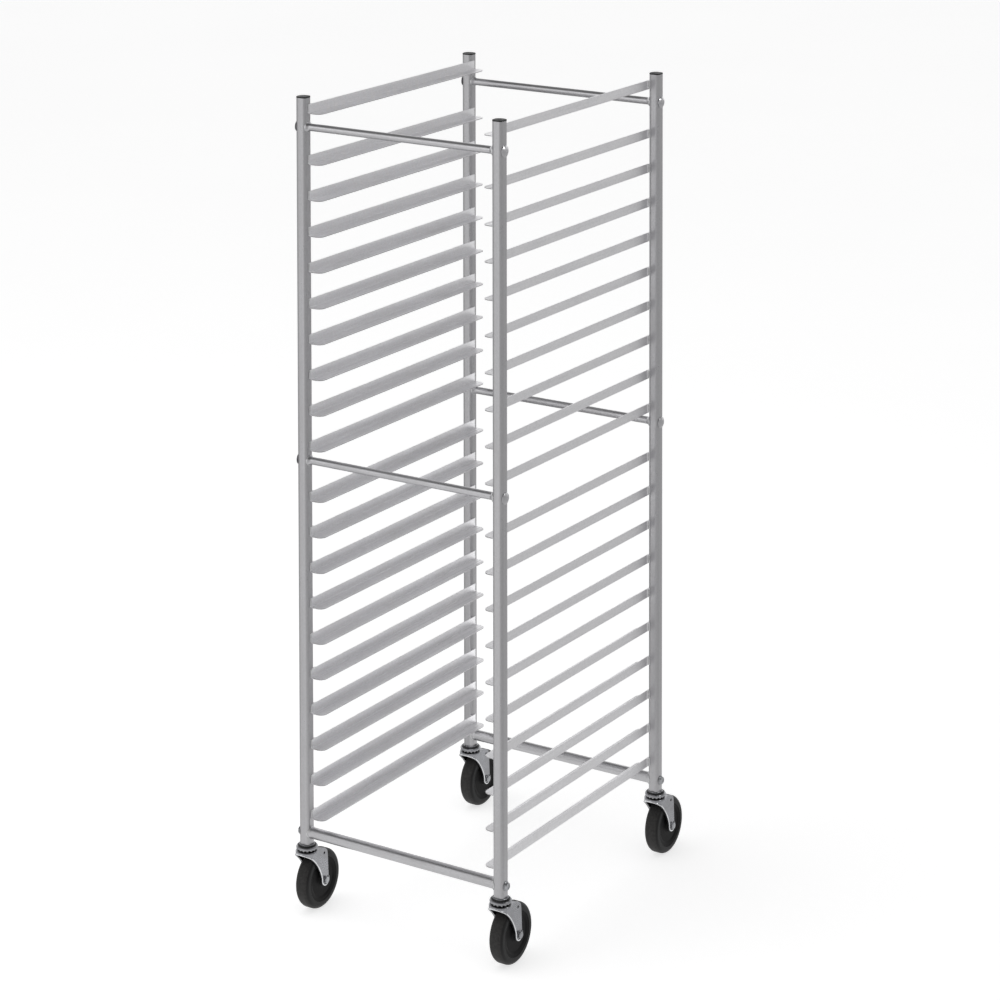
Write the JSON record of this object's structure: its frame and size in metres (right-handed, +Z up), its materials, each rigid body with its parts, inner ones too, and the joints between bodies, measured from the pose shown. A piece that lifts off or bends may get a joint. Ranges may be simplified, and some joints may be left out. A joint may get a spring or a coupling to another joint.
{
  "type": "sheet pan rack",
  "caption": "Open welded frame of square posts with facing angle slides that carry sheet pans, joined by crossbars and rolling on swivel casters.",
  "frame": {"origin": "on the floor, at the middle of the four wheel contact points, with every caster trailing to the back", "axes": "+Z up, +X to the right seen from the front, -Y towards the front, where pans go in"},
  "size_m": [0.543, 0.76, 1.7536],
  "materials": {
    "frame_aluminium": "satin mill finish, lightly worn",
    "black_plastic": "moulded, slightly glossy",
    "fastener_steel": "zinc plated",
    "zinc_plate": "bright zinc plated, pressed",
    "ball_steel": "polished",
    "wheel_core": "moulded",
    "tyre": "matt, lightly dusty"
  },
  "bodies": {
    "frame": {"post_fl": "frame_aluminium", "cap_fl": "black_plastic", "post_fr": "frame_aluminium", "cap_fr": "black_plastic", "post_bl": "frame_aluminium", "cap_bl": "black_plastic", "post_br": "frame_aluminium", "cap_br": "black_plastic", "crossbar_top_front": "frame_aluminium", "crossbar_top_back": "frame_aluminium", "crossbar_mid_front": "frame_aluminium", "crossbar_mid_back": "frame_aluminium", "crossbar_low_front": "frame_aluminium", "crossbar_low_back": "frame_aluminium", "slides_left_lower": "frame_aluminium", "slides_left_upper": "frame_aluminium", "slides_right_lower": "frame_aluminium", "slides_right_upper": "frame_aluminium", "foot_bolts": "fastener_steel", "dust_seals": "black_plastic", "adapter_fl": "zinc_plate", "kingpin_fl": "fastener_steel", "race_fl": "zinc_plate", "adapter_fr": "zinc_plate", "kingpin_fr": "fastener_steel", "race_fr": "zinc_plate", "adapter_bl": "zinc_plate", "kingpin_bl": "fastener_steel", "race_bl": "zinc_plate", "adapter_br": "zinc_plate", "kingpin_br": "fastener_steel", "race_br": "zinc_plate"},
    "fork_fl": {"fork_fl": "zinc_plate", "balls_fl": "ball_steel", "axle_bolt_fl": "fastener_steel", "axle_nut_fl": "fastener_steel", "sleeve_fl": "fastener_steel"},
    "wheel_fl": {"core_fl": "wheel_core", "tyre_fl": "tyre"},
    "fork_fr": {"fork_fr": "zinc_plate", "balls_fr": "ball_steel", "axle_bolt_fr": "fastener_steel", "axle_nut_fr": "fastener_steel", "sleeve_fr": "fastener_steel"},
    "wheel_fr": {"core_fr": "wheel_core", "tyre_fr": "tyre"},
    "fork_bl": {"fork_bl": "zinc_plate", "balls_bl": "ball_steel", "axle_bolt_bl": "fastener_steel", "axle_nut_bl": "fastener_steel", "sleeve_bl": "fastener_steel"},
    "wheel_bl": {"core_bl": "wheel_core", "tyre_bl": "tyre"},
    "fork_br": {"fork_br": "zinc_plate", "balls_br": "ball_steel", "axle_bolt_br": "fastener_steel", "axle_nut_br": "fastener_steel", "sleeve_br": "fastener_steel"},
    "wheel_br": {"core_br": "wheel_core", "tyre_br": "tyre"}
  },
  "joints": [
    {"name": "swivel_fl", "type": "hinge", "parent": "frame", "child": "fork_fl", "pos_m": [-0.2445, -0.3545, 0.1395], "axis": [0, 0, 1], "continuous": true},
    {"name": "spin_fl", "type": "hinge", "parent": "fork_fl", "child": "wheel_fl", "pos_m": [-0.2445, -0.3175, 0.0625], "axis": [1, 0, 0], "continuous": true},
    {"name": "swivel_fr", "type": "hinge", "parent": "frame", "child": "fork_fr", "pos_m": [0.2445, -0.3545, 0.1395], "axis": [0, 0, 1], "continuous": true},
    {"name": "spin_fr", "type": "hinge", "parent": "fork_fr", "child": "wheel_fr", "pos_m": [0.2445, -0.3175, 0.0625], "axis": [1, 0, 0], "continuous": true},
    {"name": "swivel_bl", "type": "hinge", "parent": "frame", "child": "fork_bl", "pos_m": [-0.2445, 0.2805, 0.1395], "axis": [0, 0, 1], "continuous": true},
    {"name": "spin_bl", "type": "hinge", "parent": "fork_bl", "child": "wheel_bl", "pos_m": [-0.2445, 0.3175, 0.0625], "axis": [1, 0, 0], "continuous": true},
    {"name": "swivel_br", "type": "hinge", "parent": "frame", "child": "fork_br", "pos_m": [0.2445, 0.2805, 0.1395], "axis": [0, 0, 1], "continuous": true},
    {"name": "spin_br", "type": "hinge", "parent": "fork_br", "child": "wheel_br", "pos_m": [0.2445, 0.3175, 0.0625], "axis": [1, 0, 0], "continuous": true}
  ]
}
